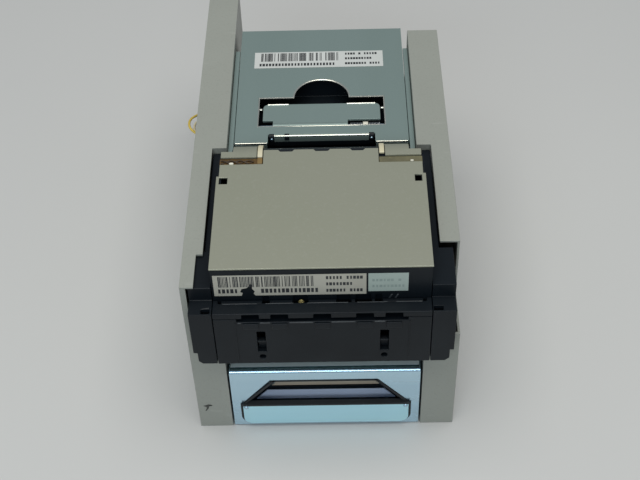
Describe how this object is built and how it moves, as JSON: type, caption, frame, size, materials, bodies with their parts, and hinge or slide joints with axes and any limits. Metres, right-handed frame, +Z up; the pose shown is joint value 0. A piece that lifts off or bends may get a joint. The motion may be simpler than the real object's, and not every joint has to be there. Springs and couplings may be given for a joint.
{
  "type": "bill validator",
  "caption": "Bank note validator: a steel frame with a slide-out cash drawer, a rear stacker with a fold-up handle and a hinged black reading head with a note mouth.",
  "frame": {"origin": "bottom centre of the object's box, at the level it stands on, without its loose leads", "axes": "+Z up, -Y towards the note mouth and drawer front, +X to the right seen from the front"},
  "size_m": [0.1362, 0.241, 0.1188],
  "materials": {
    "grey_paint": "light grey powder coat",
    "zinc": "bright zinc plate",
    "steel": "blue-grey galvanised sheet",
    "cover_steel": "satin nickel-coloured sheet",
    "black_plastic": "fine satin moulding",
    "nylon": "natural moulding",
    "rubber": "matt",
    "board": "solder mask",
    "motor_case": "plated can",
    "spring_steel": "drawn wire",
    "yellow_lead": "insulated lead",
    "cream_lead": "insulated lead",
    "red_lead": "insulated lead",
    "sticker": "coated label",
    "brass": "screw head"
  },
  "bodies": {
    "frame": {"left_channel": "grey_paint", "right_channel": "grey_paint", "base_plate": "zinc", "rear_brace": "zinc", "stacker_guide_left": "steel", "stacker_guide_right": "steel", "presence_switch": "black_plastic", "wire_yellow": "yellow_lead", "wire_cream": "cream_lead", "wire_red": "red_lead"},
    "cash_drawer": {"drawer_tray": "zinc", "drawer_front": "zinc", "pull_lip": "zinc", "drawer_cover": "zinc", "platform_spring_front": "spring_steel", "platform_spring_rear": "spring_steel"},
    "note_platform": {"note_platform": "steel"},
    "stacker": {"stacker_housing": "steel", "top_plate": "steel", "handle_recess": "black_plastic", "handle_pin": "zinc", "inlet_guide": "black_plastic", "note_track": "black_plastic", "drum_guide": "black_plastic", "stacker_motor": "motor_case", "stacker_belt": "rubber"},
    "handle": {"handle": "steel"},
    "transport_drum": {"transport_drum": "rubber"},
    "pusher": {"pusher_plate": "steel"},
    "pusher_shaft": {"pusher_shaft": "steel", "stacker_pulley": "nylon"},
    "motor_pulley": {"motor_pulley": "nylon"},
    "head": {"lower_guide": "black_plastic", "bottom_cover": "steel", "side_rail_left": "black_plastic", "side_rail_right": "black_plastic", "cheek_left": "black_plastic", "cheek_right": "black_plastic", "lower_entrance": "black_plastic", "upper_entrance": "black_plastic", "feed_motor": "motor_case", "feed_belt_left": "rubber", "feed_belt_right": "rubber", "main_board": "board", "hinge_shaft": "steel"},
    "rear_feed": {"rear_feed_roller": "nylon", "feed_gear": "nylon"},
    "front_feed": {"front_feed_roller": "nylon"},
    "motor_pinion": {"motor_pinion": "steel"},
    "upper_guide": {"upper_shell": "black_plastic", "top_cover": "cover_steel", "hinge_cover_left": "cover_steel", "hinge_cover_right": "cover_steel", "upper_board": "board"},
    "pinch_front": {"pinch_roller_front": "nylon"},
    "pinch_rear": {"pinch_roller_rear": "nylon"},
    "release_lever": {"release_lever": "nylon"}
  },
  "joints": [
    {"name": "drawer_slide", "type": "slide", "parent": "frame", "child": "cash_drawer", "axis": [0, -1, 0], "range_m": [0, 0.15]},
    {"name": "platform_slide", "type": "slide", "parent": "cash_drawer", "child": "note_platform", "axis": [0, 0, -1], "range_m": [0, 0.02], "stiffness_N_per_m": 100, "springref_m": -0.03, "deforming": ["platform_spring_front", "platform_spring_rear"]},
    {"name": "stacker_slide", "type": "slide", "parent": "frame", "child": "stacker", "axis": [0, 1, 0], "range_m": [0, 0.1]},
    {"name": "handle_hinge", "type": "hinge", "parent": "stacker", "child": "handle", "pos_m": [0, 0.0051, 0.1014], "axis": [1, 0, 0], "range_deg": [0, 90]},
    {"name": "drum_turn", "type": "hinge", "parent": "stacker", "child": "transport_drum", "pos_m": [0, 0.0375, 0.072], "axis": [1, 0, 0], "continuous": true},
    {"name": "pusher_slide", "type": "slide", "parent": "stacker", "child": "pusher", "axis": [0, 0, -1], "range_m": [0, 0.0138]},
    {"name": "pusher_shaft_turn", "type": "hinge", "parent": "stacker", "child": "pusher_shaft", "pos_m": [0, 0.00465, 0.066], "axis": [1, 0, 0], "range_deg": [-1, 100]},
    {"name": "motor_pulley_turn", "type": "hinge", "parent": "stacker", "child": "motor_pulley", "pos_m": [0, 0.0675, 0.07], "axis": [1, 0, 0], "range_deg": [-1, 100]},
    {"name": "head_slide", "type": "slide", "parent": "frame", "child": "head", "axis": [0, -1, 0], "range_m": [0, 0.09]},
    {"name": "rear_feed_turn", "type": "hinge", "parent": "head", "child": "rear_feed", "pos_m": [0, -0.0345, 0.0824], "axis": [1, 0, 0], "continuous": true},
    {"name": "front_feed_turn", "type": "hinge", "parent": "head", "child": "front_feed", "pos_m": [0, -0.0945, 0.0824], "axis": [1, 0, 0], "continuous": true},
    {"name": "motor_pinion_turn", "type": "hinge", "parent": "head", "child": "motor_pinion", "pos_m": [0, -0.04154, 0.07536], "axis": [1, 0, 0], "continuous": true},
    {"name": "upper_hinge", "type": "hinge", "parent": "head", "child": "upper_guide", "pos_m": [0, -0.0325, 0.103], "axis": [-1, 0, 0], "range_deg": [0, 40]},
    {"name": "pinch_front_turn", "type": "hinge", "parent": "upper_guide", "child": "pinch_front", "pos_m": [0, -0.0945, 0.0978], "axis": [1, 0, 0], "continuous": true},
    {"name": "pinch_rear_turn", "type": "hinge", "parent": "upper_guide", "child": "pinch_rear", "pos_m": [0, -0.0525, 0.0978], "axis": [1, 0, 0], "continuous": true},
    {"name": "release_lever_tip", "type": "hinge", "parent": "upper_guide", "child": "release_lever", "pos_m": [0.0462, -0.1004, 0.1043], "axis": [-1, 0, 0], "range_deg": [0, 8], "stiffness_Nm_per_rad": 0.02, "springref_deg": -11.46}
  ],
  "couplings": [
    {"joint": "pusher_shaft_turn", "follows": "pusher_slide", "rad_per_m": 125},
    {"joint": "motor_pulley_turn", "follows": "pusher_slide", "rad_per_m": 125},
    {"joint": "front_feed_turn", "follows": "rear_feed_turn", "ratio": 1},
    {"joint": "motor_pinion_turn", "follows": "rear_feed_turn", "ratio": -1.8}
  ]
}
